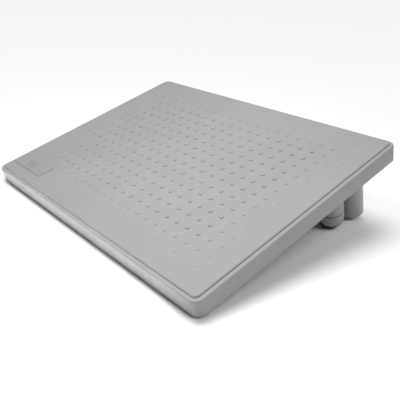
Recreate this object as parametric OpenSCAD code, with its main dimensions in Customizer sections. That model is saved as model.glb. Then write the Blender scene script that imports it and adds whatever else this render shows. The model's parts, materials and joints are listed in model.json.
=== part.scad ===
// Slant board: a moulded foot platform that lies on its front edge and is raised at the
// rear on two leg blocks. Each block has two sockets; a domed foot plugs into either one.
// Part frame: floor at z = 0, +X to the right, +Y to the rear, +Z up.
// Board frame (used inside on_board): x across, y up the slope, z square to the deck,
// with z = 0 on the rim and y = 0 at the front edge.

/* [Platform] */
// Width of the board
board_w = 450; // [410:1:480]
// Length of the board, up the slope
board_d = 330; // [328:1:360]
// Height of the side wall below the rim
board_t = 20.7; // [20:0.1:24]
// Slope of the board in degrees
tilt = 14.5; // [13:0.1:16]
// Radius of the upright corners
corner_r = 11; // [9:0.5:14]
// Rounding along the rim's outer edge
rim_edge_r = 1.8; // [1:0.1:2.5]
// Width of the flat rim round the field
shelf_w = 5; // [4:0.5:6]
// Height of the field above the rim
field_h = 2; // [1.5:0.1:2.5]
// Corner radius of the field
field_corner_r = 6.5; // [5:0.5:8]
// Thickness of the deck
deck_t = 3; // [2.5:0.1:4]
// Thickness of the side wall
wall_t = 3; // [2.5:0.1:4]

/* [Massage bumps] */
// Bumps across the board
bump_cols = 24; // [18:1:24]
// Bumps up the slope
bump_rows = 18; // [14:1:18]
// Spacing across the board
bump_pitch_x = 17.9; // [16:0.1:18]
// Spacing up the slope
bump_pitch_y = 17.3; // [16:0.1:17.5]
// Height of a full bump
bump_h = 1.3; // [0.8:0.1:1.6]
// Radius of a full bump where it meets the field
bump_r = 2.5; // [2:0.1:3]

/* [Ribs] */
// Spacing of the ribs under the deck, both ways
rib_pitch = 40; // [34:1:42]
// Thickness of a rib
rib_t = 2; // [1.6:0.1:2.4]
// How far the ribs stop short of the wall's lower edge
rib_short = 2; // [1.5:0.1:3]

/* [Name plate] */
// Width of the blank plate
plate_w = 81; // [60:1:81]
// Length of the blank plate, up the slope
plate_d = 24; // [20:1:25]
// How far the plate stands above the field
plate_proud = 0.5; // [0.3:0.1:0.8]

/* [Leg blocks] */
// Distance of the legs from the board's middle
leg_x = 190; // [180:1:192]
// Place of the front sockets, up the slope
front_socket_y = 242.5; // [236:0.5:246]
// Distance from the front sockets to the rear ones
socket_gap = 40; // [38:0.5:42]
// Outer radius of a barrel
barrel_r = 15.5; // [15:0.1:16]
// Distance of the front barrel's end below the rim
front_reach = 60; // [56:0.5:62]
// Distance of the rear barrel's end below the rim
rear_reach = 87; // [82:0.5:90]
// Radius of a socket
socket_r = 11.5; // [10:0.1:12]
// Depth of a socket
socket_depth = 34; // [30:1:35]

/* [Feet] */
// Radial clearance of a foot's stem in its socket
stem_clear = 0.06; // [0.03:0.01:0.1]
// Length of a foot's stem
stem_len = 31; // [26:1:32]
// Height of the narrow neck that shows as a seam
neck_h = 0.9; // [0.6:0.1:1.2]
// Height of the rubber tip
tip_h = 9; // [7:0.5:10]

/* [Front pads] */
// Length of a pad across the board
pad_w = 90; // [60:1:100]
// How far the pads lift the front edge off the floor
pad_lift = 1; // [0.6:0.1:2]

/* [Hidden] */
$fn = 64;
deep = 0.5;            // how far joined solids run into each other
cut = 1;               // how far a cutting solid runs past a face
root_in = 2;           // how far a web's edge runs into a round barrel
fit_gap = 0.3;         // gap left between parts that only lie together
peg_clear = 0.05;      // radial clearance of a pressed peg in its hole
LEFT = -1;
RIGHT = 1;

// Frame: the board is turned about its front edge and set down on pads and feet
origin_z = pad_lift + board_t * cos(tilt);
lean_front = rim_edge_r * (cos(tilt) + sin(tilt) - 1);
lean_rear = board_d * cos(tilt) + board_t * sin(tilt);
origin_y = -(lean_front + lean_rear) / 2;

// Platform
wall_bottom = -board_t;
rib_bottom = wall_bottom + rib_short;
inner_w = board_w - 2 * wall_t;
inner_d = board_d - 2 * wall_t;
inner_corner_r = corner_r - wall_t;
field_edge_r = field_h;
field_w = board_w - 2 * shelf_w;
field_d = board_d - 2 * shelf_w;
step_in = shelf_w + field_edge_r + wall_t;
pocket_w = board_w - 2 * step_in;
pocket_d = board_d - 2 * step_in;
rib_cols = floor((board_w / 2 - wall_t) / rib_pitch);
rib_rows = ceil(board_d / rib_pitch) - 1;
first_rib_y = (board_d - (rib_rows - 1) * rib_pitch) / 2;

// Bumps grow from the outermost ring inwards and are full from the fourth ring
ring_share = [0.15, 0.35, 0.65, 1];
full_ring = 3;
bump_x0 = -(bump_cols - 1) * bump_pitch_x / 2;
bump_y0 = (board_d - (bump_rows - 1) * bump_pitch_y) / 2;

// Name plate
plate_in = 10;
plate_x = -board_w / 2 + plate_in + plate_w / 2;
plate_y = 34;
plate_pocket = 0.8;
plate_corner_r = 1.5;
plate_peg_r = 2;
plate_peg_in = 8;
plate_peg_x = plate_w / 2 - plate_peg_in;
plate_mark_w = 22;
plate_mark_d = 1.6;
plate_mark_h = 0.3;
plate_mark_corner_r = 0.75;
plate_mark_pitch = 3.6;
plate_marks = 3;

// Leg blocks
rear_socket_y = front_socket_y + socket_gap;
block_y = (front_socket_y + rear_socket_y) / 2;
flange_t = 4;
flange_w = 46;
flange_d = 96;
flange_corner_r = 6;
flange_top = rib_bottom + flange_t;
web_t = 3;
core_r = 10.5;
barrel_chamfer = 1;
key_w = 4;
key_out = 1.4;
gusset_t = 2.5;
gusset_drop = 22;
bridge_drop = 14;

// Screws
screw_dx = 18;
screw_dy = 42;
boss_r = 4.2;
pilot_r = 1.6;
screw_hole_r = 2.1;
screw_r = 1.55;
screw_len = 14;
screw_head_r = 3.8;
screw_head_h = 2.4;
screw_head_chamfer = 1;
screw_recess_r = 1.9;
screw_recess_w = 1;
screw_recess_depth = 1.3;

// Feet: the dome's centre is where a ball of that radius just touches the floor
dome_z = (barrel_r - origin_z - front_socket_y * sin(tilt)) / cos(tilt);
seam_gap = 0.1;
neck_in = 0.8;
neck_r = barrel_r - neck_in;
shoulder_z = -front_reach - seam_gap;
cap_top = shoulder_z - neck_h;
stem_r = socket_r - stem_clear;
stem_top = shoulder_z + stem_len;
stem_core_r = 6.5;
stem_core_depth = 25;
stem_chamfer = 1.2;
key_side = 0.2;
foot_key_len = 13.5;
tip_plane = dome_z - barrel_r + tip_h;
tip_peg_r = 6;
tip_peg_len = 8;
ring_wire_r = 1.5;
ring_up = 18;
ring_z = shoulder_z + ring_up;
ring_clear = 0.03;
ring_r = socket_r - ring_clear - ring_wire_r;
groove_h = 2 * ring_wire_r + fit_gap;
groove_play = 0.2;
groove_r = stem_r - 2 * ring_wire_r - groove_play;

// Front pads
pad_x = 150;
pad_gap = 0.4;
pad_front_y = wall_t + pad_gap;
pad_d = 13;
pad_seat_top = -10;
pad_seat_t = 3;
pad_seat_bottom = pad_seat_top - pad_seat_t;
pad_peg_r = 3;
pad_peg_dx = 25;
pad_peg_len = 4.5;

shell_grey = [0.66, 0.66, 0.67];
leg_grey = [0.6, 0.6, 0.61];
rubber_black = [0.12, 0.12, 0.12];
steel_grey = [0.7, 0.7, 0.72];

// Puts a shape drawn in the board frame into its place in the part frame
module on_board() {
    translate([0, origin_y, origin_z]) rotate([tilt, 0, 0]) children();
}

// Upright block with rounded corners, standing on z = 0 and centred in x and y
module round_block(w, d, h, r) {
    translate([-w / 2, -d / 2 + r, 0]) cube([w, d - 2 * r, h]);
    translate([-w / 2 + r, -d / 2, 0]) cube([w - 2 * r, d, h]);
    for (sx = [-1, 1], sy = [-1, 1])
        translate([sx * (w / 2 - r), sy * (d / 2 - r), 0]) cylinder(r = r, h = h);
}

// Cross-section of a slab with both upper edges rounded
module slab_section(w, h, edge_r) {
    translate([-w / 2, 0]) square([w, h - edge_r]);
    translate([-w / 2 + edge_r, 0]) square([w - 2 * edge_r, h]);
    for (s = [-1, 1]) translate([s * (w / 2 - edge_r), h - edge_r]) circle(r = edge_r);
}

// Slab with rounded corners whose upper edge is rounded all the way round
module soft_slab(w, d, h, r, edge_r) {
    rotate([90, 0, 0]) linear_extrude(height = d - 2 * r, center = true)
        slab_section(w, h, edge_r);
    rotate([90, 0, 90]) linear_extrude(height = w - 2 * r, center = true)
        slab_section(d, h, edge_r);
    for (sx = [-1, 1], sy = [-1, 1])
        translate([sx * (w / 2 - r), sy * (d / 2 - r), 0])
            rotate_extrude() intersection() {
                slab_section(2 * r, h, edge_r);
                square([r, h]);
            }
}

// Low dome standing on the field, cut from a ball
module bump(share) {
    h = bump_h * share;
    r = bump_r * sqrt(share);
    ball_r = (r * r + h * h) / (2 * h);
    intersection() {
        translate([0, 0, h - ball_r]) sphere(r = ball_r);
        translate([-r - cut, -r - cut, -deep / 2]) cube([2 * r + 2 * cut, 2 * r + 2 * cut, h + cut]);
    }
}

function ring_of(i, j) = min(i, bump_cols - 1 - i, j, bump_rows - 1 - j, full_ring);
function on_plate(x, y) = abs(x - plate_x) < plate_w / 2 + bump_r
    && abs(y - plate_y) < plate_d / 2 + bump_r;

module bumps() {
    for (i = [0 : bump_cols - 1], j = [0 : bump_rows - 1]) {
        x = bump_x0 + i * bump_pitch_x;
        y = bump_y0 + j * bump_pitch_y;
        if (!on_plate(x, y)) translate([x, y, field_h]) bump(ring_share[ring_of(i, j)]);
    }
}

module ribs() {
    rib_h = -deep - rib_bottom;
    for (i = [-rib_cols : rib_cols])
        translate([i * rib_pitch - rib_t / 2, wall_t / 2, rib_bottom])
            cube([rib_t, board_d - wall_t, rib_h]);
    for (j = [0 : rib_rows - 1])
        translate([-board_w / 2 + wall_t / 2, first_rib_y + j * rib_pitch - rib_t / 2, rib_bottom])
            cube([board_w - wall_t, rib_t, rib_h]);
}

// Repeats its child at the four screws of one leg block
module at_screws(side) {
    for (sx = [-1, 1], sy = [-1, 1])
        translate([side * leg_x + sx * screw_dx, block_y + sy * screw_dy, 0]) children();
}

// Repeats its child at the two pegs of one front pad
module at_pad_pegs(side) {
    for (s = [-1, 1])
        translate([side * pad_x + s * pad_peg_dx, pad_front_y + pad_d / 2, 0]) children();
}

module platform() color(shell_grey) on_board() difference() {
    union() {
        difference() {
            union() {
                translate([0, board_d / 2, wall_bottom])
                    soft_slab(board_w, board_d, board_t, corner_r, rim_edge_r);
                translate([0, board_d / 2, -deep])
                    soft_slab(field_w, field_d, field_h + deep, field_corner_r, field_edge_r);
            }
            translate([0, board_d / 2, wall_bottom - cut])
                round_block(inner_w, inner_d, board_t - deck_t + cut, inner_corner_r);
            translate([0, board_d / 2, -deck_t - cut])
                round_block(pocket_w, pocket_d, field_h + cut, field_corner_r - wall_t);
        }
        bumps();
        difference() {
            ribs();
            for (side = [LEFT, RIGHT]) {
                translate([side * leg_x, block_y, rib_bottom - cut])
                    round_block(
                        flange_w + 2 * fit_gap, flange_d + 2 * fit_gap, flange_t + cut, flange_corner_r
                    );
                translate([side * pad_x - pad_w / 2 - fit_gap, wall_t, rib_bottom - cut])
                    cube([pad_w + 2 * fit_gap, pad_d + 2 * pad_gap, pad_seat_bottom - rib_bottom + cut]);
            }
        }
        for (side = [LEFT, RIGHT]) {
            at_screws(side)
                translate([0, 0, flange_top]) cylinder(r = boss_r, h = -deep - flange_top);
            translate([side * pad_x - pad_w / 2 - rib_t, wall_t / 2, pad_seat_bottom])
                cube([pad_w + 2 * rib_t, first_rib_y - wall_t / 2, pad_seat_t]);
        }
    }
    for (side = [LEFT, RIGHT]) {
        at_screws(side)
            translate([0, 0, flange_top - cut]) cylinder(r = pilot_r, h = screw_len - flange_t + cut);
        at_pad_pegs(side)
            translate([0, 0, pad_seat_bottom - cut]) cylinder(r = pad_peg_r, h = pad_seat_t + 2 * cut);
    }
    translate([plate_x, plate_y, field_h - plate_pocket])
        round_block(plate_w, plate_d, plate_pocket + cut, plate_corner_r);
    for (s = [-1, 1])
        translate([plate_x + s * plate_peg_x, plate_y, -deck_t - cut])
            cylinder(r = plate_peg_r, h = deck_t + field_h + cut);
}

module name_plate() color(shell_grey) on_board() translate([plate_x, plate_y, field_h - plate_pocket]) {
    plate_t = plate_pocket + plate_proud;
    round_block(plate_w - fit_gap, plate_d - fit_gap, plate_t, plate_corner_r);
    for (s = [-1, 1])
        translate([s * plate_peg_x, 0, -deck_t])
            cylinder(r = plate_peg_r - peg_clear, h = deck_t + deep);
    for (i = [0 : plate_marks - 1])
        translate([0, (i - (plate_marks - 1) / 2) * plate_mark_pitch, plate_t - deep])
            round_block(plate_mark_w, plate_mark_d, deep + plate_mark_h, plate_mark_corner_r);
}

// One barrel hanging from the flange, its lower outer edge chamfered
module barrel(reach) {
    rotate_extrude() polygon([
        [0, flange_top - deep], [barrel_r, flange_top - deep], [barrel_r, barrel_chamfer - reach],
        [barrel_r - barrel_chamfer, -reach], [0, -reach]
    ]);
}

// The hollows of one barrel: the socket with its two keyways, and the core above the web
module barrel_hollows(reach) {
    translate([0, 0, -reach - cut]) {
        cylinder(r = socket_r, h = socket_depth + cut);
        translate([-socket_r - key_out, -key_w / 2, 0])
            cube([2 * (socket_r + key_out), key_w, socket_depth + cut]);
    }
    core_bottom = -reach + socket_depth + web_t;
    translate([0, 0, core_bottom]) cylinder(r = core_r, h = flange_top - core_bottom + cut);
}

// Three-cornered plate that steadies a barrel against the flange's end
module gusset(dir) {
    root = dir * (barrel_r - root_in);
    reach_out = dir * (flange_d / 2 - socket_gap / 2 - flange_corner_r);
    translate([-gusset_t / 2, 0, rib_bottom]) rotate([90, 0, 90])
        linear_extrude(height = gusset_t)
            polygon([[root, deep], [reach_out, deep], [root, -gusset_drop]]);
}

module leg_block(side) color(leg_grey) on_board() translate([side * leg_x, 0, 0]) difference() {
    union() {
        translate([0, block_y, rib_bottom]) round_block(flange_w, flange_d, flange_t, flange_corner_r);
        translate([0, front_socket_y, 0]) {
            barrel(front_reach);
            gusset(-1);
        }
        translate([0, rear_socket_y, 0]) {
            barrel(rear_reach);
            gusset(1);
        }
        translate([-gusset_t / 2, front_socket_y + barrel_r - root_in, rib_bottom - bridge_drop])
            cube([gusset_t, socket_gap - 2 * barrel_r + 2 * root_in, bridge_drop + deep]);
    }
    translate([0, front_socket_y, 0]) barrel_hollows(front_reach);
    translate([0, rear_socket_y, 0]) barrel_hollows(rear_reach);
    translate([-side * leg_x, 0, 0]) at_screws(side)
        translate([0, 0, rib_bottom - cut]) cylinder(r = screw_hole_r, h = flange_t + 2 * cut);
}

module block_screws(side) color(steel_grey) on_board() at_screws(side) difference() {
    union() {
        translate([0, 0, rib_bottom - deep]) cylinder(r = screw_r, h = screw_len + deep);
        translate([0, 0, rib_bottom - screw_head_h]) rotate_extrude() polygon([
            [0, 0], [screw_head_r - screw_head_chamfer, 0], [screw_head_r, screw_head_chamfer],
            [screw_head_r, screw_head_h], [0, screw_head_h]
        ]);
    }
    translate([0, 0, rib_bottom - screw_head_h - cut])
        for (a = [0, 90]) rotate([0, 0, a])
            translate([-screw_recess_r, -screw_recess_w / 2, 0])
                cube([2 * screw_recess_r, screw_recess_w, screw_recess_depth + cut]);
}

// Plugs into the front socket; the dome's lower part is cut away for the rubber tip
module foot(side) color(leg_grey) on_board() translate([side * leg_x, front_socket_y, 0]) difference() {
    union() {
        rotate_extrude() polygon([
            [0, cap_top + deep], [0, stem_top], [stem_r - stem_chamfer, stem_top],
            [stem_r, stem_top - stem_chamfer], [stem_r, ring_z + groove_h / 2],
            [groove_r, ring_z + groove_h / 2], [groove_r, ring_z - groove_h / 2],
            [stem_r, ring_z - groove_h / 2], [stem_r, shoulder_z], [neck_r, shoulder_z],
            [neck_r, cap_top + deep]
        ]);
        translate([-socket_r - key_out + key_side, -key_w / 2 + key_side, shoulder_z])
            cube([2 * (socket_r + key_out - key_side), key_w - 2 * key_side, foot_key_len]);
        translate([0, 0, cap_top]) mirror([0, 0, 1]) cylinder(r = barrel_r, h = cap_top - dome_z);
        translate([0, 0, cap_top - deep]) cylinder(r = neck_r, h = 2 * deep);
        intersection() {
            translate([0, 0, dome_z]) sphere(r = barrel_r);
            translate([-barrel_r - cut, -barrel_r - cut, tip_plane])
                cube([2 * (barrel_r + cut), 2 * (barrel_r + cut), dome_z - tip_plane]);
        }
    }
    translate([0, 0, stem_top - stem_core_depth]) cylinder(r = stem_core_r, h = stem_core_depth + cut);
    translate([0, 0, tip_plane - cut]) cylinder(r = tip_peg_r, h = tip_peg_len + cut);
}

module foot_tip(side) color(rubber_black) on_board() translate([side * leg_x, front_socket_y, 0]) {
    intersection() {
        translate([0, 0, dome_z]) sphere(r = barrel_r);
        translate([-barrel_r - cut, -barrel_r - cut, dome_z - barrel_r - cut])
            cube([2 * (barrel_r + cut), 2 * (barrel_r + cut), tip_h + cut]);
    }
    translate([0, 0, tip_plane - deep])
        cylinder(r = tip_peg_r - peg_clear, h = tip_peg_len + deep - fit_gap);
}

module grip_ring(side) color(rubber_black) on_board() translate([side * leg_x, front_socket_y, ring_z])
    rotate_extrude() translate([ring_r, 0]) circle(r = ring_wire_r);

module front_pad(side) color(rubber_black) intersection() {
    on_board() {
        translate([side * pad_x - pad_w / 2, pad_front_y, wall_bottom - pad_d])
            cube([pad_w, pad_d, pad_d - wall_bottom + pad_seat_bottom]);
        at_pad_pegs(side)
            translate([0, 0, pad_seat_bottom - deep])
                cylinder(r = pad_peg_r - peg_clear, h = pad_peg_len + deep);
    }
    translate([-board_w, -board_d, 0]) cube([2 * board_w, 2 * board_d, board_d]);
}

platform();
name_plate();
leg_block(LEFT);  // leg_block_left
leg_block(RIGHT);  // leg_block_right
block_screws(LEFT);  // block_screws_left
block_screws(RIGHT);  // block_screws_right
foot(LEFT);  // foot_left
foot(RIGHT);  // foot_right
foot_tip(LEFT);  // foot_tip_left
foot_tip(RIGHT);  // foot_tip_right
grip_ring(LEFT);  // grip_ring_left
grip_ring(RIGHT);  // grip_ring_right
front_pad(LEFT);  // front_pad_left
front_pad(RIGHT);  // front_pad_right
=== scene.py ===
import json
import math

import bmesh
import bpy
from mathutils import Matrix, Vector


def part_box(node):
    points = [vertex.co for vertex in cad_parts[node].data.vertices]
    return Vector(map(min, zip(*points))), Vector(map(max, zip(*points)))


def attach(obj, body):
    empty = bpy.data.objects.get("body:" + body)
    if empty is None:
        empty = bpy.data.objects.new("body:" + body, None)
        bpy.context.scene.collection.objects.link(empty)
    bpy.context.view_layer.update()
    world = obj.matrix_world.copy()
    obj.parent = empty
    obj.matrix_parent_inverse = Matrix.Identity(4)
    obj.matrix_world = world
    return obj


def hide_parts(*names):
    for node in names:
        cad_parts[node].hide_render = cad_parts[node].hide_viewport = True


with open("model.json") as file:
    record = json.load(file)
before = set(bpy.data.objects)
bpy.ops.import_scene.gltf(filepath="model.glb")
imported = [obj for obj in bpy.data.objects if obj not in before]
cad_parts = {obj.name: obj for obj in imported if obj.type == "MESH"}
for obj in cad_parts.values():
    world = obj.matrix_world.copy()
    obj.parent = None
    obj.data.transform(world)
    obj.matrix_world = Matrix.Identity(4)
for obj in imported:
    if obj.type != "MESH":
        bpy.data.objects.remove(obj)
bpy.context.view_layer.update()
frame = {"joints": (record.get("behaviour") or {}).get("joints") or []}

# Everything is in metres. The board frame has x across, y up the slope from the board's middle,
# and z square to the deck, with z = 0 on the rim.
MM = 0.001
SIDES = {"left": -1, "right": 1}
CLEAR = 1 * MM     # how far a cutter runs past the face that it opens
TOUCH = 0.01 * MM  # points closer than this are at the same place

BOARD_W, BOARD_D, WALL_H = 450 * MM, 330 * MM, 20.7 * MM
CORNER_R = 11 * MM
WALL_T, DECK_T = 3 * MM, 3 * MM
# Rounding of the wall's upper and lower edges
RIM_EDGE, WALL_EDGE = 1.8 * MM, 0.5 * MM
# The rim is a flat shelf, then a rounded step goes up to the field of bumps
SHELF, FIELD_H, STEP_R = 5 * MM, 2 * MM, 2 * MM
# How far in from the wall the deck's underside steps up, below the field
FIELD_CUT = 10 * MM
# The front edge's height over the floor, on its pads
PAD_LIFT = 1 * MM

BUMP_COLS, BUMP_ROWS, BUMP_SIDES = 24, 18, 12
BUMP_PITCH = Vector((17.9 * MM, 17.3 * MM))
BUMP_R, BUMP_H = 2.7 * MM, 1.35 * MM
# Height of the bumps in the outermost ring and the next ones in, as a share of a full one
RING_SHARE = (0.15, 0.35, 0.65, 1.0)
# Dome of a bump, from its foot up: (share of the radius, share of the height)
BUMP_DOME = ((1.06, 0.0), (0.99, 0.1), (0.86, 0.6), (0.64, 0.88), (0.3, 1.0))

# The name plate, its shallow pocket and its three raised bars
PLATE_AT, PLATE_SIZE = Vector((-174.5 * MM, -131 * MM)), Vector((81 * MM, 24 * MM))
PLATE_DEEP, PLATE_PROUD, PLATE_GAP = 0.8 * MM, 0.5 * MM, 0.2 * MM
PLATE_CORNER_R = 1.5 * MM
PLATE_PLAY = Vector((0.3 * MM, 0.3 * MM))
BAR_SIZE, BAR_PITCH = (22 * MM, 1.6 * MM, 0.6 * MM), 3.6 * MM

# The ribs stop RIB_SHORT above the wall's lower edge and run a little way into the deck
RIB_PITCH, RIB_T, RIB_SHORT = 40 * MM, 2 * MM, 2 * MM
RIBS_ACROSS, RIBS_ALONG = 11, 8
RIB_LOW = RIB_SHORT - WALL_H
RIB_TOP = -0.5 * MM
BOSS_R, BOSS_TOP = 4.2 * MM, -0.6 * MM

# Each leg block has a short front barrel, which holds the foot, and a long empty rear one
LEG_X = 190 * MM
FRONT_Y, REAR_Y = 77.5 * MM, 117.5 * MM
BLOCK_Y = (FRONT_Y + REAR_Y) / 2
FRONT_END, REAR_END = -60 * MM, -87 * MM
LEGS = ((FRONT_Y, FRONT_END), (REAR_Y, REAR_END))
BARREL_R, BARREL_EDGE, FILLET_R = 15.5 * MM, 1 * MM, 1.6 * MM
SOCKET_R, SOCKET_DEPTH, SOCKET_FLARE = 11.5 * MM, 34 * MM, 0.5 * MM
CORE_R, CORE_FLOOR = 10.5 * MM, 3 * MM
KEY_W, KEY_OUT, KEY_PLAY = 4 * MM, 1.4 * MM, 0.4 * MM
FLANGE_T, FLANGE_W, FLANGE_D = 4 * MM, 46 * MM, 96 * MM
FLANGE_TOP = RIB_LOW + FLANGE_T
FLANGE_CORNER_R, FLANGE_PLAY = 6 * MM, 0.6 * MM
# The gussets and the web between the barrels go a little way into the barrels and the flange
WEB_T, WEB_H, GUSSET_H = 2.5 * MM, 14 * MM, 22 * MM
WEB_BITE, WEB_ROOT = 2 * MM, 0.5 * MM

# The block's screws, round its middle, with the crossed slots in their heads
SCREW_SPOTS = [(x * 18 * MM, y * 42 * MM) for x in (-1, 1) for y in (-1, 1)]
SCREW_HOLE_R = 2.1 * MM
HEAD_R, HEAD_H, HEAD_ROUND = 3.8 * MM, 2.4 * MM, 1.4 * MM
SLOT_LEN, SLOT_W, SLOT_DEEP = 3.8 * MM, 0.9 * MM, 1.3 * MM
SHANK_R, THREAD_ROOT_R, SCREW_LEN = 1.55 * MM, 1.25 * MM, 14 * MM
THREADS, THREAD_PITCH = 11, 1.1 * MM

# The foot's stem in its socket, hollow from the top, with a groove for the grip ring
STEM_CLEAR, STEM_LEN, STEM_LEAD = 0.06 * MM, 31 * MM, 1.2 * MM
STEM_CORE_R, STEM_CORE_DEEP = 6.5 * MM, 25 * MM
SHOULDER = FRONT_END - 0.1 * MM
RING_Z, RING_WIRE_R, RING_CLEAR = SHOULDER + 18 * MM, 1.5 * MM, 0.03 * MM
GROOVE_H, GROOVE_DEEP = 3.3 * MM, 3.2 * MM
NECK_H, NECK_R = 1.3 * MM, 13.8 * MM
CAP_EDGE = 0.5 * MM

# The rubber pads under the front edge, each pressed against a seat in the ribs
PAD_X, PAD_W, PAD_D = 150 * MM, 90 * MM, 13 * MM
PAD_FRONT = WALL_T + 0.4 * MM - BOARD_D / 2
PAD_SEAT = -13 * MM
PAD_PLAY = Vector((0.6 * MM, 0.8 * MM))
SEAT_D, SEAT_T = 23.5 * MM, 3 * MM
PAD_BLANK = 20 * MM  # height of a pad before it is cut off at the floor
PAD_SLOT_IN, PAD_SLOT_PITCH, PAD_SLOT_SIZE = 5.2 * MM, 3.4 * MM, (1.1 * MM, 1.2 * MM)

# The board's place: its slope is the lean of the legs, and its front edge stands PAD_LIFT up
leg_down = Vector(frame["joints"][0]["axis"])
SLOPE = math.atan2(leg_down.y, -leg_down.z)
RISE = PAD_LIFT + WALL_H * math.cos(SLOPE)
FRONT_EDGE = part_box("platform")[0].y - RIM_EDGE * (math.cos(SLOPE) + math.sin(SLOPE) - 1)
board = (
    Matrix.Translation((0, FRONT_EDGE, RISE))
    @ Matrix.Rotation(SLOPE, 4, "X")
    @ Matrix.Translation((0, BOARD_D / 2, 0))
)

# The foot's dome, of the barrel's radius, rests on the floor. The rubber tip is its lower TIP_H, and
# its near-black tone is partly the rubber's own colour and partly painted shade on the dome's
# underside.
DOME_Z = (BARREL_R - RISE - (FRONT_Y + BOARD_D / 2) * math.sin(SLOPE)) / math.cos(SLOPE)
TIP_H = 9 * MM
TIP_TOP = DOME_Z - BARREL_R + TIP_H
TIP_ANGLE = math.degrees(math.asin((TIP_TOP - DOME_Z) / BARREL_R))
# Where the tip's grooves start, in degrees round the dome, and how deep they are
TIP_GROOVES, TIP_GROOVE_DEEP = (-35, -50, -66), 0.45 * MM


# ---------------------------------------------------------------- mesh helpers

def new_mesh(name, bm, crease=35, matrix=board):
    """Ends a bmesh: places it, turns its faces outwards and marks edges over the crease angle."""
    bmesh.ops.recalc_face_normals(bm, faces=bm.faces)
    bmesh.ops.transform(bm, matrix=matrix, verts=bm.verts)
    for face in bm.faces:
        face.smooth = True
    for edge in bm.edges:
        if len(edge.link_faces) == 2 and edge.calc_face_angle() > math.radians(crease):
            edge.smooth = False
    mesh = bpy.data.meshes.new(name)
    bm.to_mesh(mesh)
    bm.free()
    obj = bpy.data.objects.new(name, mesh)
    bpy.context.scene.collection.objects.link(obj)
    return obj


def add_piece(obj, material, body, slot, *nodes):
    """Gives a finished piece its material and its CAD body, and hides the CAD nodes that it stands
    for.
    """
    obj.data.materials.clear()
    obj.data.materials.append(material)
    shading = obj.modifiers.new("flat_faces_stay_flat", "WEIGHTED_NORMAL")
    shading.keep_sharp = True
    shading.weight = 90
    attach(obj, body)
    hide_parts(*nodes)
    return obj


def add_block(bm, centre, size, bevel=0.0, corner=0.0):
    """A box in the bmesh, its upright corners rounded by corner and all its edges by bevel."""
    matrix = Matrix.Translation(centre) @ Matrix.Diagonal((*size, 1))
    verts = bmesh.ops.create_cube(bm, size=1, matrix=matrix)["verts"]
    faces = {face for vert in verts for face in vert.link_faces}
    if corner:
        upright = [
            edge for edge in {e for f in faces for e in f.edges}
            if abs(edge.verts[0].co.z - edge.verts[1].co.z) > size[2] / 2
        ]
        made = bmesh.ops.bevel(
            bm, geom=upright, offset=corner, offset_type="OFFSET", segments=6,
            profile=0.5, affect="EDGES", material=-1,
        )
        faces = {f for f in faces if f.is_valid} | set(made["faces"])
    if bevel:
        rims = [
            edge for edge in {e for f in faces for e in f.edges}
            if edge.calc_face_angle(0) > math.radians(60)
        ]
        bmesh.ops.bevel(
            bm, geom=rims, offset=bevel, offset_type="OFFSET", segments=3,
            profile=0.5, affect="EDGES", material=-1,
        )


def add_turned(bm, profile, centre=(0, 0, 0), steps=64):
    """Spins a profile of (radius, height) points once round the z axis through centre."""
    verts = [bm.verts.new((r, 0, z)) for r, z in profile]
    edges = [bm.edges.new(pair) for pair in zip(verts, verts[1:])]
    if profile[0][0] > 0 and profile[-1][0] > 0:
        edges.append(bm.edges.new((verts[-1], verts[0])))
    before = set(bm.verts) - set(verts)
    bmesh.ops.spin(
        bm, geom=verts + edges, cent=(0, 0, 0), axis=(0, 0, 1), dvec=(0, 0, 0),
        angle=math.tau, steps=steps, use_merge=True, use_duplicate=False,
    )
    made = [v for v in bm.verts if v not in before]
    bmesh.ops.remove_doubles(bm, verts=made, dist=1e-6)
    made = [v for v in bm.verts if v not in before]
    bmesh.ops.translate(bm, verts=made, vec=centre)


def raise_faces(bm, faces, step):
    """Makes a solid of flat faces: a copy of them moves by step, and walls close the gap."""
    made = bmesh.ops.extrude_face_region(bm, geom=faces, use_keep_orig=True)["geom"]
    moved = [v for v in made if isinstance(v, bmesh.types.BMVert)]
    bmesh.ops.translate(bm, verts=moved, vec=step)


def arc(centre_r, centre_z, radius, start, end, count):
    """Profile points on an arc, with its angles in degrees from the outward direction."""
    angles = [math.radians(start + (end - start) * i / count) for i in range(count + 1)]
    return [
        (centre_r + radius * math.cos(a), centre_z + radius * math.sin(a)) for a in angles
    ]


def combine(target, tool, operation):
    """Joins or cuts two solid objects into the first one and removes the second."""
    change = target.modifiers.new(operation.lower(), "BOOLEAN")
    change.operation = operation
    change.solver = "MANIFOLD"
    change.object = tool
    bpy.context.view_layer.update()
    result = bpy.data.meshes.new_from_object(
        target.evaluated_get(bpy.context.evaluated_depsgraph_get())
    )
    target.modifiers.clear()
    target.data = result
    bpy.data.objects.remove(tool)


def crease_by_angle(obj, crease):
    """Marks the edges over the crease angle again, after a cut has made new ones."""
    obj.data.shade_smooth()
    obj.data.set_sharp_from_angle(angle=math.radians(crease))


# ---------------------------------------------------------------- materials

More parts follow.
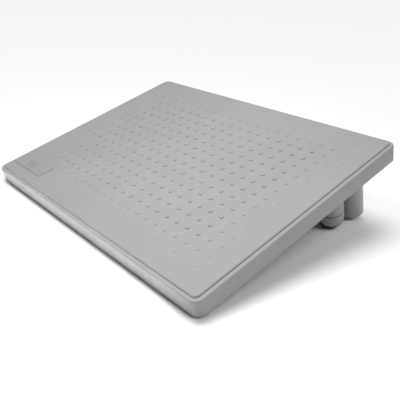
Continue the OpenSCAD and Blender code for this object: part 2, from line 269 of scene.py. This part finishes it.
def grain_group():
    """Moulded plastic's surface: fine spark grain, a soft mottle and a slow drift over the board."""
    group = bpy.data.node_groups.new("moulded_grain", "ShaderNodeTree")
    face = group.interface
    face.new_socket("Vector", in_out="INPUT", socket_type="NodeSocketVector")
    for name, value in (("Grain size", 0.5 * MM), ("Mottle size", 6 * MM), ("Drift size", 0.12)):
        face.new_socket(name, in_out="INPUT", socket_type="NodeSocketFloat").default_value = value
    for name in ("Height", "Tone", "Gloss"):
        face.new_socket(name, in_out="OUTPUT", socket_type="NodeSocketFloat")
    add, wire = group.nodes.new, group.links.new
    source, sink = add("NodeGroupInput"), add("NodeGroupOutput")

    def noise(size_name, detail, rough):
        """Noise whose cells measure what the group's input says."""
        scale = add("ShaderNodeMath")
        scale.operation = "DIVIDE"
        scale.inputs[0].default_value = 1
        wire(source.outputs[size_name], scale.inputs[1])
        node = add("ShaderNodeTexNoise")
        node.inputs["Detail"].default_value = detail
        node.inputs["Roughness"].default_value = rough
        wire(source.outputs["Vector"], node.inputs["Vector"])
        wire(scale.outputs[0], node.inputs["Scale"])
        return node.outputs["Fac"]

    def blend(a, b, share):
        """a and b mixed, with share of b."""
        node = add("ShaderNodeMix")
        node.inputs["Factor"].default_value = share
        wire(a, node.inputs["A"])
        wire(b, node.inputs["B"])
        return node.outputs["Result"]

    grain = noise("Grain size", 3, 0.6)
    mottle = noise("Mottle size", 2, 0.5)
    drift = noise("Drift size", 2, 0.5)
    wire(blend(grain, mottle, 0.25), sink.inputs["Height"])
    wire(blend(blend(grain, mottle, 0.5), drift, 0.45), sink.inputs["Tone"])
    wire(blend(mottle, drift, 0.6), sink.inputs["Gloss"])
    return group


def scuff_group():
    """Faint rub marks: long thin streaks in two directions, broken up by a coarse noise."""
    group = bpy.data.node_groups.new("rub_marks", "ShaderNodeTree")
    face = group.interface
    face.new_socket("Vector", in_out="INPUT", socket_type="NodeSocketVector")
    face.new_socket("Amount", in_out="INPUT", socket_type="NodeSocketFloat").default_value = 0.3
    face.new_socket("Mask", in_out="OUTPUT", socket_type="NodeSocketFloat")
    add, wire = group.nodes.new, group.links.new
    source, sink = add("NodeGroupInput"), add("NodeGroupOutput")

    def only_over(value, low, high):
        """0 where value is under low, 1 over high."""
        node = add("ShaderNodeMapRange")
        node.inputs["From Min"].default_value = low
        node.inputs["From Max"].default_value = high
        wire(value, node.inputs["Value"])
        return node.outputs[0]

    def join(operation, a, b):
        """One number out of two."""
        node = add("ShaderNodeMath")
        node.operation = operation
        wire(a, node.inputs[0])
        wire(b, node.inputs[1])
        return node.outputs[0]

    def streaks(turn, low):
        """Thin streaks, turned by an angle about the upright axis."""
        place = add("ShaderNodeMapping")
        place.inputs["Rotation"].default_value = (0, 0, turn)
        place.inputs["Scale"].default_value = (24, 900, 900)
        wire(source.outputs["Vector"], place.inputs["Vector"])
        noise = add("ShaderNodeTexNoise")
        noise.inputs["Scale"].default_value = 1
        noise.inputs["Detail"].default_value = 1
        wire(place.outputs[0], noise.inputs["Vector"])
        return only_over(noise.outputs["Fac"], low, low + 0.08)

    both = join("MAXIMUM", streaks(0.5, 0.66), streaks(2.2, 0.68))
    patch = add("ShaderNodeTexNoise")
    patch.inputs["Scale"].default_value = 14
    wire(source.outputs["Vector"], patch.inputs["Vector"])
    patchy = join("MULTIPLY", both, only_over(patch.outputs["Fac"], 0.5, 0.62))
    wire(join("MULTIPLY", patchy, source.outputs["Amount"]), sink.inputs["Mask"])
    return group


GRAIN = grain_group()
SCUFFS = scuff_group()


def plastic(name, dark, light, rough, grain, depth, scuffs=0.0, rubbed=False):
    """A moulded material. dark and light end its tone, rough its roughness, and grain and depth
    are the size and height of its surface grain. rubbed reads the mesh's own rubbed attribute."""
    material = bpy.data.materials.new(name)
    material.use_nodes = True
    nodes, wire = material.node_tree.nodes, material.node_tree.links.new
    shader = nodes["Principled BSDF"]
    place = nodes.new("ShaderNodeTexCoord")
    surface = nodes.new("ShaderNodeGroup")
    surface.node_tree = GRAIN
    surface.inputs["Grain size"].default_value = grain
    wire(place.outputs["Object"], surface.inputs["Vector"])

    def spread(value, low, high):
        """The middle of a noise's range, where nearly all of it lies, carried to low and high."""
        node = nodes.new("ShaderNodeMapRange")
        node.inputs["From Min"].default_value = 0.35
        node.inputs["From Max"].default_value = 0.65
        node.inputs["To Min"].default_value = low
        node.inputs["To Max"].default_value = high
        wire(value, node.inputs["Value"])
        return node.outputs[0]

    def towards(value, end, mask):
        """A number that goes to end where the mask is 1."""
        node = nodes.new("ShaderNodeMix")
        node.inputs["B"].default_value = end
        wire(mask, node.inputs["Factor"])
        wire(value, node.inputs["A"])
        return node.outputs["Result"]

    colour = nodes.new("ShaderNodeMix")
    colour.data_type = "RGBA"
    colour.inputs["A"].default_value = (*dark, 1)
    colour.inputs["B"].default_value = (*light, 1)
    wire(spread(surface.outputs["Tone"], 0, 1), colour.inputs["Factor"])
    skin = colour.outputs["Result"]
    sheen = spread(surface.outputs["Gloss"], *rough)

    if scuffs:
        marks = nodes.new("ShaderNodeGroup")
        marks.node_tree = SCUFFS
        marks.inputs["Amount"].default_value = scuffs
        wire(place.outputs["Object"], marks.inputs["Vector"])
        paler = nodes.new("ShaderNodeMix")
        paler.data_type = "RGBA"
        paler.inputs["B"].default_value = (*[min(1, c * 1.35 + 0.02) for c in light], 1)
        wire(marks.outputs["Mask"], paler.inputs["Factor"])
        wire(skin, paler.inputs["A"])
        skin = paler.outputs["Result"]
        sheen = towards(sheen, rough[0] * 0.7, marks.outputs["Mask"])

    if rubbed:
        worn = nodes.new("ShaderNodeAttribute")
        worn.attribute_name = "rubbed"
        sheen = towards(sheen, rough[0] * 0.72, worn.outputs["Fac"])

    bump = nodes.new("ShaderNodeBump")
    bump.inputs["Strength"].default_value = 0.6
    bump.inputs["Distance"].default_value = depth
    wire(surface.outputs["Height"], bump.inputs["Height"])
    wire(skin, shader.inputs["Base Color"])
    wire(sheen, shader.inputs["Roughness"])
    wire(bump.outputs[0], shader.inputs["Normal"])
    return material


def zinc_steel():
    """Zinc-plated screws: bright metal with a soft cloudy tint."""
    material = plastic(
        "zinc_steel", (0.5, 0.5, 0.5), (0.66, 0.66, 0.64), (0.28, 0.4), 0.8 * MM, 0.02 * MM,
    )
    material.node_tree.nodes["Principled BSDF"].inputs["Metallic"].default_value = 1
    return material


SHELL = plastic(
    "shell_plastic", (0.27, 0.272, 0.28), (0.31, 0.312, 0.321), (0.5, 0.62),
    0.5 * MM, 0.12 * MM, scuffs=0.12, rubbed=True,
)
PLATE = plastic(
    "plate_plastic", (0.275, 0.277, 0.285), (0.305, 0.307, 0.316), (0.42, 0.52),
    0.3 * MM, 0.04 * MM,
)
LEG = plastic(
    "leg_plastic", (0.32, 0.322, 0.33), (0.36, 0.362, 0.37), (0.4, 0.52), 0.35 * MM, 0.05 * MM,
)
# Near-black for the tip and the grip ring: on the tip it is partly the rubber's own colour and partly
# painted shade, darkening the dome's underside where shade falls under the board.
RUBBER_AND_PAINTED_SHADE = plastic(
    "tip_rubber", (0.018, 0.018, 0.019), (0.032, 0.032, 0.033), (0.6, 0.78),
    0.3 * MM, 0.06 * MM,
)
PAD = plastic(
    "pad_rubber", (0.022, 0.022, 0.023), (0.038, 0.038, 0.039), (0.66, 0.84),
    0.4 * MM, 0.07 * MM,
)
STEEL = zinc_steel()


# ---------------------------------------------------------------- platform

def outline(bm, half_w, half_d, radius, level, segments=8, centre=(0, 0)):
    """A closed loop of edges: a rectangle with round corners, lying at one level."""
    verts = []
    for corner, (sx, sy) in enumerate(((1, 1), (-1, 1), (-1, -1), (1, -1))):
        for step in range(segments + 1):
            angle = math.radians(90 * corner + 90 * step / segments)
            verts.append(bm.verts.new((
                centre[0] + sx * (half_w - radius) + radius * math.cos(angle),
                centre[1] + sy * (half_d - radius) + radius * math.sin(angle),
                level,
            )))
    return [bm.edges.new((a, b)) for a, b in zip(verts, verts[1:] + verts[:1])]


def sweep(bm, edges, steps):
    """Carries a round-cornered loop through (inset from the wall, level) steps."""
    for inset, level in steps:
        made = bmesh.ops.extrude_edge_only(bm, edges=edges)["geom"]
        verts = {v for v in made if isinstance(v, bmesh.types.BMVert)}
        edges = [
            e for e in made
            if isinstance(e, bmesh.types.BMEdge) and verts.issuperset(e.verts)
        ]
        for vert in verts:
            centre = Vector((
                math.copysign(BOARD_W / 2 - CORNER_R, vert.co.x),
                math.copysign(BOARD_D / 2 - CORNER_R, vert.co.y),
            ))
            out = (vert.co.xy - centre).normalized()
            vert.co = (*(centre + out * (CORNER_R - inset)), level)
    return edges


def ring_of(i, j):
    """How many bumps in from the grid's edge a bump is, up to the first full one."""
    return min(i, BUMP_COLS - 1 - i, j, BUMP_ROWS - 1 - j, len(RING_SHARE) - 1)


def under_plate(centre, margin):
    """Whether a point is on the name plate or within margin of it."""
    off = Vector(centre[:2]) - PLATE_AT
    return abs(off.x) < PLATE_SIZE.x / 2 + margin and abs(off.y) < PLATE_SIZE.y / 2 + margin


def raise_bumps(bm):
    """The field's grid of cells, each with a twelve-sided dome raised from its middle."""
    extent = (BUMP_COLS * BUMP_PITCH.x, BUMP_ROWS * BUMP_PITCH.y)
    bmesh.ops.create_grid(
        bm, x_segments=BUMP_COLS, y_segments=BUMP_ROWS, size=0.5,
        matrix=Matrix.Translation((0, 0, FIELD_H)) @ Matrix.Diagonal((*extent, 1, 1)),
    )
    cells = {}
    for face in bm.faces:
        spot = face.calc_center_median()
        if under_plate(spot, BUMP_R):
            continue
        i = math.floor((spot.x + extent[0] / 2) / BUMP_PITCH.x)
        j = math.floor((spot.y + extent[1] / 2) / BUMP_PITCH.y)
        cells.setdefault(ring_of(i, j), []).append(face)
    worn = bm.verts.layers.float.new("rubbed")
    side = 360 / BUMP_SIDES
    for ring, faces in cells.items():
        share = RING_SHARE[ring]
        radius = BUMP_R * math.sqrt(share)
        bmesh.ops.inset_individual(bm, faces=faces, thickness=BUMP_PITCH.y / 2 - radius)
        rims = list({edge for face in faces for edge in face.edges})
        bmesh.ops.subdivide_edges(bm, edges=rims, cuts=BUMP_SIDES // 4 - 1)
        foot = radius * BUMP_DOME[0][0]
        for face in faces:
            middle = face.calc_center_median()
            for vert in face.verts:
                angle = math.degrees(math.atan2(vert.co.y - middle.y, vert.co.x - middle.x))
                angle = math.radians(side / 2 + side * round((angle - side / 2) / side))
                vert.co.x = middle.x + foot * math.cos(angle)
                vert.co.y = middle.y + foot * math.sin(angle)
            for edge in face.edges:
                edge.smooth = False
        for (r0, h0), (r1, h1) in zip(BUMP_DOME, BUMP_DOME[1:]):
            bmesh.ops.inset_individual(
                bm, faces=faces, thickness=radius * (r0 - r1) * math.cos(math.radians(side / 2)),
                depth=BUMP_H * share * (h1 - h0),
            )
            for face in faces:
                for vert in face.verts:
                    vert[worn] = share * h1


def is_flat_cell(face):
    """Whether a face is a flat part of the bumps' grid, at the field's level."""
    half_w = BUMP_COLS * BUMP_PITCH.x / 2 + TOUCH
    half_d = BUMP_ROWS * BUMP_PITCH.y / 2 + TOUCH
    return (
        len(face.verts) < BUMP_SIDES
        and face.normal.z > 0.9999
        and all(abs(vert.co.x) < half_w and abs(vert.co.y) < half_d for vert in face.verts)
        and abs(face.calc_center_median().z - FIELD_H) < TOUCH
    )


def cut_plate_pocket(bm):
    """Opens the flat cells round the name plate and closes them again up to a shallow pocket."""
    reach = BUMP_PITCH.length / 2
    flats = [
        face for face in bm.faces
        if is_flat_cell(face) and under_plate(face.calc_center_median(), reach)
    ]
    edges = {edge for face in flats for edge in face.edges}
    bmesh.ops.delete(bm, geom=flats, context="FACES")
    border = [edge for edge in edges if edge.is_valid and len(edge.link_faces) == 1]
    lip = outline(
        bm, PLATE_SIZE.x / 2 + PLATE_GAP, PLATE_SIZE.y / 2 + PLATE_GAP, PLATE_CORNER_R + PLATE_GAP,
        FIELD_H, segments=4, centre=PLATE_AT,
    )
    bmesh.ops.triangle_fill(bm, use_beauty=True, use_dissolve=False, edges=border + lip)
    made = bmesh.ops.extrude_edge_only(bm, edges=lip)["geom"]
    low = {v for v in made if isinstance(v, bmesh.types.BMVert)}
    for vert in low:
        vert.co.z -= PLATE_DEEP
    floor = [e for e in made if isinstance(e, bmesh.types.BMEdge) and low.issuperset(e.verts)]
    bmesh.ops.contextual_create(bm, geom=floor)


def build_platform():
    """The deck, rim and wall in one skin: from the field outwards, down, and back up inside."""
    bm = bmesh.new()
    raise_bumps(bm)
    grid_border = [edge for edge in bm.edges if len(edge.link_faces) == 1]
    flat_in = SHELF + STEP_R
    top = outline(bm, BOARD_W / 2 - flat_in, BOARD_D / 2 - flat_in, CORNER_R - flat_in, FIELD_H)
    bmesh.ops.triangle_fill(bm, use_beauty=True, use_dissolve=False, edges=grid_border + top)
    cut_plate_pocket(bm)

    turns = [math.radians(90 * i / 8) for i in range(1, 9)]
    step = [(flat_in - STEP_R * math.sin(a), FIELD_H - STEP_R * (1 - math.cos(a))) for a in turns]
    rim = [(RIM_EDGE, 0)] + [
        (RIM_EDGE * (1 - math.sin(a)), -RIM_EDGE * (1 - math.cos(a))) for a in turns
    ]
    near, far = 0.3 * WALL_EDGE, WALL_EDGE
    foot = [
        (0, far - WALL_H), (near, near - WALL_H), (far, -WALL_H),
        (WALL_T - far, -WALL_H), (WALL_T - near, near - WALL_H), (WALL_T, far - WALL_H),
    ]
    inside = [(WALL_T, -DECK_T), (FIELD_CUT, -DECK_T), (FIELD_CUT, FIELD_H - DECK_T)]
    last = sweep(bm, top, step + rim + foot + inside)
    bmesh.ops.contextual_create(bm, geom=last)
    return new_mesh("platform_shell", bm, crease=40)


def rib_lattice():
    """The crossed ribs: a grid whose cells are cut out, raised from the ribs' lower edge."""
    bm = bmesh.new()
    across = [(i - RIBS_ACROSS // 2) * RIB_PITCH for i in range(RIBS_ACROSS)]
    along = [(i - (RIBS_ALONG - 1) / 2) * RIB_PITCH for i in range(RIBS_ALONG)]
    edge_x = (BOARD_W - WALL_T) / 2
    edge_y = (BOARD_D - WALL_T) / 2
    xs = [-edge_x, *across, edge_x]
    ys = [-edge_y, *along, edge_y]
    bmesh.ops.create_grid(bm, x_segments=len(xs) - 1, y_segments=len(ys) - 1, size=0.5)
    for vert in bm.verts:
        vert.co.x = xs[round((vert.co.x + 0.5) * (len(xs) - 1))]
        vert.co.y = ys[round((vert.co.y + 0.5) * (len(ys) - 1))]
        vert.co.z = RIB_LOW
    cells = list(bm.faces)
    bmesh.ops.inset_individual(bm, faces=cells, thickness=RIB_T / 2)
    bmesh.ops.delete(bm, geom=cells, context="FACES")
    raise_faces(bm, list(bm.faces), (0, 0, RIB_TOP - RIB_LOW))
    return new_mesh("platform_ribs", bm)


def build_ribs():
    """The ribs under the deck, cleared for the leg blocks and pads, with their bosses and seats."""
    ribs = rib_lattice()

    keep = bmesh.new()
    add_block(
        keep, (0, 0, (RIB_LOW + RIB_TOP) / 2),
        (BOARD_W - WALL_T, BOARD_D - WALL_T, 2 * CLEAR - RIB_LOW), corner=CORNER_R - WALL_T / 2,
    )
    combine(ribs, new_mesh("keep", keep), "INTERSECT")

    cutter = bmesh.new()
    for side in SIDES.values():
        add_block(
            cutter, (side * LEG_X, BLOCK_Y, RIB_LOW + FLANGE_T / 2 - CLEAR),
            (FLANGE_W + FLANGE_PLAY, FLANGE_D + FLANGE_PLAY, FLANGE_T + 2 * CLEAR),
            corner=FLANGE_CORNER_R,
        )
        add_block(
            cutter, (side * PAD_X, PAD_FRONT + PAD_D / 2, (PAD_SEAT + RIB_LOW - CLEAR) / 2),
            (PAD_W + PAD_PLAY.x, PAD_D + PAD_PLAY.y, PAD_SEAT - RIB_LOW + CLEAR),
        )
    combine(ribs, new_mesh("cutter", cutter), "DIFFERENCE")

    seats = bmesh.new()
    for side in SIDES.values():
        add_block(
            seats, (side * PAD_X, (WALL_T - BOARD_D + SEAT_D) / 2, PAD_SEAT + SEAT_T / 2),
            (PAD_W + 2 * RIB_T, SEAT_D, SEAT_T),
        )
        for x, y in SCREW_SPOTS:
            add_turned(
                seats, [(0, FLANGE_TOP), (BOSS_R, FLANGE_TOP), (BOSS_R, BOSS_TOP), (0, BOSS_TOP)],
                (side * LEG_X + x, BLOCK_Y + y, 0), 24,
            )
    combine(ribs, new_mesh("seats", seats), "UNION")
    crease_by_angle(ribs, 35)
    return ribs


def build_name_plate():
    """The blank plate in its pocket, with three plain raised bars."""
    bm = bmesh.new()
    thick = PLATE_DEEP + PLATE_PROUD
    top = FIELD_H + PLATE_PROUD
    add_block(
        bm, (*PLATE_AT, top - thick / 2), (*(PLATE_SIZE - PLATE_PLAY), thick),
        bevel=0.2 * MM, corner=PLATE_CORNER_R,
    )
    for i in (-1, 0, 1):
        add_block(
            bm, (PLATE_AT.x, PLATE_AT.y + i * BAR_PITCH, top), BAR_SIZE,
            bevel=0.15 * MM, corner=0.75 * MM,
        )
    return new_mesh("name_plate_blank", bm)


# ---------------------------------------------------------------- leg blocks and feet

def leg_place(side, y=0.0):
    """The board frame moved to the leg on one side, and y up the slope."""
    return board @ Matrix.Translation((SIDES[side] * LEG_X, y, 0))


def add_barrel(bm, y, end):
    """A barrel with a rounded end and a fillet at its root."""
    root = FLANGE_TOP - 0.4 * MM
    add_turned(bm, [
        (0, end), (BARREL_R - BARREL_EDGE, end),
        *arc(BARREL_R - BARREL_EDGE, end + BARREL_EDGE, BARREL_EDGE, -90, 0, 4)[1:],
        *arc(BARREL_R + FILLET_R, RIB_LOW - FILLET_R, FILLET_R, 180, 90, 4),
        (BARREL_R + FILLET_R, root), (0, root),
    ], (0, y, 0))


def add_gusset(bm, y, end):
    """A three-cornered plate from a barrel to the flange's end on that side."""
    barrel_side = BARREL_R - WEB_BITE
    run = (FLANGE_D - REAR_Y + FRONT_Y) / 2 - FLANGE_CORNER_R - barrel_side
    at = y + end * barrel_side
    corners = [(at, WEB_ROOT), (at + end * run, WEB_ROOT), (at, -GUSSET_H)]
    face = bm.faces.new([
        bm.verts.new((-WEB_T / 2, cy, RIB_LOW + cz)) for cy, cz in corners
    ])
    raise_faces(bm, [face], (WEB_T, 0, 0))


def add_web(bm):
    """The plate between the two barrels."""
    add_block(
        bm, (0, BLOCK_Y, RIB_LOW + (WEB_ROOT - WEB_H) / 2),
        (WEB_T, REAR_Y - FRONT_Y - 2 * (BARREL_R - WEB_BITE), WEB_H + WEB_ROOT),
    )


def add_socket(bm, y, end):
    """What a socket takes out of its barrel: a bore with a flared mouth."""
    add_turned(bm, [
        (0, end - CLEAR), (SOCKET_R + SOCKET_FLARE + CLEAR, end - CLEAR),
        (SOCKET_R, end + SOCKET_FLARE), (SOCKET_R, end + SOCKET_DEPTH), (0, end + SOCKET_DEPTH),
    ], (0, y, 0))


def add_keyways(bm, y, end):
    """What the two keyways take out of a socket's wall."""
    add_block(
        bm, (0, y, end + (SOCKET_DEPTH - CLEAR) / 2),
        (2 * (SOCKET_R + KEY_OUT), KEY_W, SOCKET_DEPTH + CLEAR),
    )


def add_hole(bm, spot, radius, low, steps=64):
    """What a plain hole takes out, from low up through the flange."""
    high = FLANGE_TOP + CLEAR
    add_turned(bm, [(0, low), (radius, low), (radius, high), (0, high)], (*spot, 0), steps)


def build_leg_block(side):
    """Flange, two barrels, web and gussets, with the sockets, cores and screw holes cut out."""
    bm = bmesh.new()
    add_block(
        bm, (0, BLOCK_Y, RIB_LOW + FLANGE_T / 2), (FLANGE_W, FLANGE_D, FLANGE_T),
        bevel=0.4 * MM, corner=FLANGE_CORNER_R,
    )
    block = new_mesh("leg_block_shell_" + side, bm, matrix=leg_place(side))

    def change(operation, add, *values):
        """Joins to the block, or cuts out of it, the shape that add makes from values."""
        tool = bmesh.new()
        add(tool, *values)
        combine(block, new_mesh("tool", tool, matrix=leg_place(side)), operation)

    for y, end in LEGS:
        change("UNION", add_barrel, y, end)
    for y, end in ((FRONT_Y, -1), (REAR_Y, 1)):
        change("UNION", add_gusset, y, end)
    change("UNION", add_web)
    for y, end in LEGS:
        change("DIFFERENCE", add_socket, y, end)
        change("DIFFERENCE", add_keyways, y, end)
        change("DIFFERENCE", add_hole, (0, y), CORE_R, end + SOCKET_DEPTH + CORE_FLOOR)
    for x, y in SCREW_SPOTS:
        change("DIFFERENCE", add_hole, (x, BLOCK_Y + y), SCREW_HOLE_R, RIB_LOW - CLEAR, 24)
    crease_by_angle(block, 32)
    return block


def build_foot(side):
    """The plug-in foot: a keyed stem with a ring groove, a neck that shows as a seam, and the cap."""
    bm = bmesh.new()
    stem_r = SOCKET_R - STEM_CLEAR
    groove_r = stem_r - GROOVE_DEEP
    top = SHOULDER + STEM_LEN
    floor = top - STEM_CORE_DEEP
    low, high = RING_Z - GROOVE_H / 2, RING_Z + GROOVE_H / 2
    cap_top = SHOULDER - NECK_H
    add_turned(bm, [
        (0, floor), (STEM_CORE_R, floor), (STEM_CORE_R, top - CAP_EDGE),
        (STEM_CORE_R + CAP_EDGE, top), (stem_r - STEM_LEAD, top), (stem_r, top - STEM_LEAD),
        (stem_r, high), (groove_r, high), (groove_r, low), (stem_r, low),
        (stem_r, SHOULDER), (NECK_R, SHOULDER), (NECK_R, cap_top),
        *arc(BARREL_R - CAP_EDGE, cap_top - CAP_EDGE, CAP_EDGE, 90, 0, 4),
        *arc(0, DOME_Z, BARREL_R, 0, TIP_ANGLE, 10),
        (0, TIP_TOP),
    ], steps=72)
    foot = new_mesh("foot_body_" + side, bm, crease=32, matrix=leg_place(side, FRONT_Y))

    keys = bmesh.new()
    length = STEM_LEN / 2 - 2 * MM
    add_block(
        keys, (0, 0, SHOULDER + length / 2),
        (2 * (SOCKET_R + KEY_OUT - KEY_PLAY / 2), KEY_W - KEY_PLAY, length), bevel=0.3 * MM,
    )
    combine(foot, new_mesh("keys", keys, matrix=leg_place(side, FRONT_Y)), "UNION")
    crease_by_angle(foot, 32)
    return foot


def build_tip(side):
    """The rubber tip: the dome's lower cap, with three grip grooves round it. Its near-black tone is
    partly painted shade on the dome's underside.
    """
    bm = bmesh.new()
    edge_r = BARREL_R * math.cos(math.radians(TIP_ANGLE))
    profile = [(0, TIP_TOP), (edge_r - 0.4 * MM, TIP_TOP)]
    start = TIP_ANGLE - 1.5
    for groove in TIP_GROOVES:
        profile += arc(0, DOME_Z, BARREL_R, start, groove, 6)
        start = groove - 3
        profile += arc(0, DOME_Z, BARREL_R - TIP_GROOVE_DEEP, groove - 0.8, start + 0.8, 2)
    profile += arc(0, DOME_Z, BARREL_R, start, -90, 6)
    profile[-1] = (0, DOME_Z - BARREL_R)
    add_turned(bm, profile, steps=72)
    return new_mesh("foot_rubber_painted_shade_" + side, bm, crease=32, matrix=leg_place(side, FRONT_Y))


def build_grip_ring(side):
    """The rubber ring in the stem's groove."""
    bm = bmesh.new()
    loop = arc(SOCKET_R - RING_CLEAR - RING_WIRE_R, RING_Z, RING_WIRE_R, 0, 360, 16)[:-1]
    add_turned(bm, loop)
    return new_mesh("stem_ring_" + side, bm, crease=60, matrix=leg_place(side, FRONT_Y))


def screw_profile():
    """Half of a screw in section, from the head's top to the point."""
    low = RIB_LOW - HEAD_H
    threads = []
    for i in range(THREADS):
        z = RIB_LOW + 1 * MM + i * THREAD_PITCH
        threads += [(THREAD_ROOT_R, z), (SHANK_R, z + 0.35 * MM), (THREAD_ROOT_R, z + 0.7 * MM)]
    return [
        (0, low), (1.6 * MM, low),
        *arc(HEAD_R - HEAD_ROUND, low + HEAD_ROUND, HEAD_ROUND, -60, 0, 5),
        (HEAD_R, RIB_LOW - 0.2 * MM), (HEAD_R - 0.2 * MM, RIB_LOW), (SHANK_R, RIB_LOW),
        *threads, (0.3 * MM, RIB_LOW + SCREW_LEN), (0, RIB_LOW + SCREW_LEN),
    ]


def build_screws(side):
    """Four self-tapping screws with rounded heads and crossed slots."""
    bm = bmesh.new()
    cross = bmesh.new()
    for x, y in SCREW_SPOTS:
        add_turned(bm, screw_profile(), (x, y, 0), 32)
        for size in ((SLOT_LEN, SLOT_W), (SLOT_W, SLOT_LEN)):
            add_block(cross, (x, y, RIB_LOW - HEAD_H), (*size, 2 * SLOT_DEEP))
    screws = new_mesh("block_screw_set_" + side, bm, matrix=leg_place(side, BLOCK_Y))
    combine(screws, new_mesh("cross", cross, matrix=leg_place(side, BLOCK_Y)), "DIFFERENCE")
    crease_by_angle(screws, 32)
    return screws


def build_front_pad(side):
    """A rubber strip under the front edge, cut off level with the floor, with slots for grip."""
    x = SIDES[side] * PAD_X
    bm = bmesh.new()
    add_block(
        bm, (x, PAD_FRONT + PAD_D / 2, PAD_SEAT - PAD_BLANK / 2), (PAD_W, PAD_D, PAD_BLANK),
        corner=1.2 * MM,
    )
    pad = new_mesh("front_grip_" + side, bm)
    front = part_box("front_pad_" + side)[0].y
    below_floor = ((x, front, -PAD_BLANK), (2 * PAD_W, 8 * PAD_BLANK, 2 * PAD_BLANK))
    slots = [
        ((x, front + PAD_SLOT_IN + i * PAD_SLOT_PITCH, 0), (PAD_W - 8 * MM, *PAD_SLOT_SIZE))
        for i in range(3)
    ]
    for centre, size in [below_floor, *slots]:
        cutter = bmesh.new()
        add_block(cutter, centre, size)
        combine(pad, new_mesh("cutter", cutter, matrix=Matrix.Identity(4)), "DIFFERENCE")
    crease_by_angle(pad, 32)
    return pad


def build_object():
    """Every piece, with its material, its body and the node that it stands for."""
    add_piece(build_platform(), SHELL, "board", "shell_plastic", "platform")
    add_piece(build_ribs(), SHELL, "board", "shell_plastic", "platform")
    add_piece(build_name_plate(), PLATE, "board", "plate_plastic", "name_plate")
    for side in SIDES:
        foot_body = side + "_foot"
        add_piece(build_leg_block(side), LEG, "board", "leg_plastic", "leg_block_" + side)
        add_piece(build_screws(side), STEEL, "board", "screw_steel", "block_screws_" + side)
        add_piece(build_front_pad(side), PAD, "board", "pad_rubber", "front_pad_" + side)
        add_piece(build_foot(side), LEG, foot_body, "foot_plastic", "foot_" + side)
        add_piece(build_tip(side), RUBBER_AND_PAINTED_SHADE, foot_body, "tip_rubber", "foot_tip_" + side)
        add_piece(build_grip_ring(side), RUBBER_AND_PAINTED_SHADE, foot_body, "ring_rubber", "grip_ring_" + side)


# ---------------------------------------------------------------- studio

def aim(obj, spot):
    """Turns a light or the camera at obj's place to face spot."""
    obj.rotation_euler = (Vector(spot) - obj.location).to_track_quat("-Z", "Y").to_euler()


def build_camera():
    """The camera, over the front right corner."""
    camera = bpy.data.objects.new("camera", bpy.data.cameras.new("camera"))
    bpy.context.scene.collection.objects.link(camera)
    camera.data.lens = 47.19
    camera.data.clip_start = 0.01
    camera.data.clip_end = 20
    camera.location = (0.52072, -0.41334, 0.31029)
    aim(camera, (0.03491, 0.00865, 0.00623))
    bpy.context.scene.camera = camera


def add_lamp(name, kind, place, spot, power):
    """A light at place, turned to face spot."""
    lamp = bpy.data.lights.new(name, kind)
    lamp.energy = power
    obj = bpy.data.objects.new(name, lamp)
    bpy.context.scene.collection.objects.link(obj)
    obj.location = place
    aim(obj, spot)
    return lamp


def add_softbox(name, place, spot, size, watts):
    """A round area light."""
    lamp = add_lamp(name, "AREA", place, spot, watts)
    lamp.shape = "DISK"
    lamp.size = size


def add_ceiling(name, place, spread, strength):
    """An even overhead light, as soft as its spread in degrees."""
    lamp = add_lamp(name, "SUN", place, (0, 0, 0), strength)
    lamp.angle = math.radians(spread)


def add_floor_glow():
    """A narrow strip of light that brightens the floor along the front edge."""
    x, y = -0.04, -0.225
    lamp = add_lamp("floor_glow", "AREA", (x, y, 0.35), (x, y, 0), 0.52)
    lamp.shape = "RECTANGLE"
    lamp.size = 0.47
    lamp.size_y = 0.07
    lamp.spread = math.radians(14)


def build_floor():
    """A pale floor that runs out of sight."""
    bm = bmesh.new()
    bmesh.ops.create_grid(bm, x_segments=2, y_segments=2, size=6)
    floor = new_mesh("floor", bm, matrix=Matrix.Identity(4))
    paper = bpy.data.materials.new("pale_floor")
    paper.use_nodes = True
    shader = paper.node_tree.nodes["Principled BSDF"]
    shader.inputs["Base Color"].default_value = (0.96, 0.96, 0.96, 1)
    shader.inputs["Roughness"].default_value = 0.9
    floor.data.materials.append(paper)


def build_studio():
    """The floor, two even ceiling lights, two softboxes and a strip over the front edge."""
    build_floor()
    world = bpy.data.worlds.new("surround")
    world.use_nodes = True
    sky = world.node_tree.nodes["Background"]
    sky.inputs["Color"].default_value = (1, 1, 1, 1)
    sky.inputs["Strength"].default_value = 0.03
    bpy.context.scene.world = world
    bpy.context.scene.view_settings.view_transform = "Standard"

    add_ceiling("ceiling", (-0.35, 0.2, 0.95), 45, 2.1)
    add_ceiling("right_ceiling", (0.7, 0.3, 0.85), 45, 1.4)
    add_softbox("over_deck", (0.03, -0.16, 0.48), (0.03, -0.1, 0.05), 0.3, 1.1)
    add_softbox("left_front", (-1, -2.6, 0.15), (-0.05, -0.1, 0.02), 1, 26)
    add_floor_glow()


build_object()
build_camera()
build_studio()
